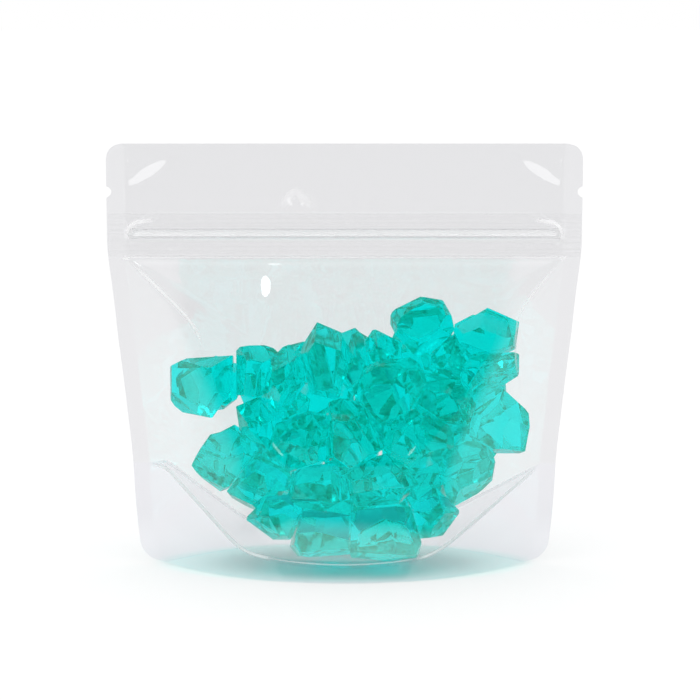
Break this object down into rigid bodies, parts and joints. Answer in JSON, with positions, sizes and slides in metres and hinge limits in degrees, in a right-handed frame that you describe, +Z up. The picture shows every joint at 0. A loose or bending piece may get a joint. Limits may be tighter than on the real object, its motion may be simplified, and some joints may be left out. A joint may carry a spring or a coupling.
{
  "type": "stand-up pouch",
  "caption": "Clear film stand-up pouch with a press-to-close zipper, tear notches and a folded bottom gusset, filled with clear teal acrylic gems.",
  "frame": {"origin": "on the surface that the pouch stands on, under the middle of its box", "axes": "+Z up; the front panel faces -Y; +X to the right as seen from the front; the side seals lie in the plane Y = 0"},
  "size_m": [0.1424, 0.056, 0.1276],
  "materials": {
    "clear_film": "glossy clear laminated film",
    "zipper_film": "clear extruded plastic, slightly hazy",
    "teal_acrylic": "polished clear teal acrylic"
  },
  "bodies": {
    "root": {"front_panel": "clear_film", "back_panel": "clear_film", "bottom_gusset": "clear_film", "zipper_groove_strip": "zipper_film", "zipper_rib_strip": "zipper_film", "gem_01": "teal_acrylic", "gem_02": "teal_acrylic", "gem_03": "teal_acrylic", "gem_04": "teal_acrylic", "gem_05": "teal_acrylic", "gem_06": "teal_acrylic", "gem_07": "teal_acrylic", "gem_08": "teal_acrylic", "gem_09": "teal_acrylic", "gem_10": "teal_acrylic", "gem_11": "teal_acrylic", "gem_12": "teal_acrylic", "gem_13": "teal_acrylic", "gem_14": "teal_acrylic", "gem_15": "teal_acrylic", "gem_16": "teal_acrylic", "gem_17": "teal_acrylic", "gem_18": "teal_acrylic", "gem_19": "teal_acrylic", "gem_20": "teal_acrylic", "gem_21": "teal_acrylic", "gem_22": "teal_acrylic", "gem_23": "teal_acrylic", "gem_24": "teal_acrylic", "gem_25": "teal_acrylic", "gem_26": "teal_acrylic", "gem_27": "teal_acrylic", "gem_28": "teal_acrylic", "gem_29": "teal_acrylic", "gem_30": "teal_acrylic", "gem_31": "teal_acrylic", "gem_32": "teal_acrylic", "gem_33": "teal_acrylic", "gem_34": "teal_acrylic", "gem_35": "teal_acrylic", "gem_36": "teal_acrylic", "gem_37": "teal_acrylic", "gem_38": "teal_acrylic", "gem_39": "teal_acrylic", "gem_40": "teal_acrylic", "gem_41": "teal_acrylic", "gem_42": "teal_acrylic", "gem_43": "teal_acrylic", "gem_44": "teal_acrylic", "gem_45": "teal_acrylic", "gem_46": "teal_acrylic", "gem_47": "teal_acrylic", "gem_48": "teal_acrylic", "gem_49": "teal_acrylic", "gem_50": "teal_acrylic", "gem_51": "teal_acrylic", "gem_52": "teal_acrylic"}
  },
  "joints": []
}
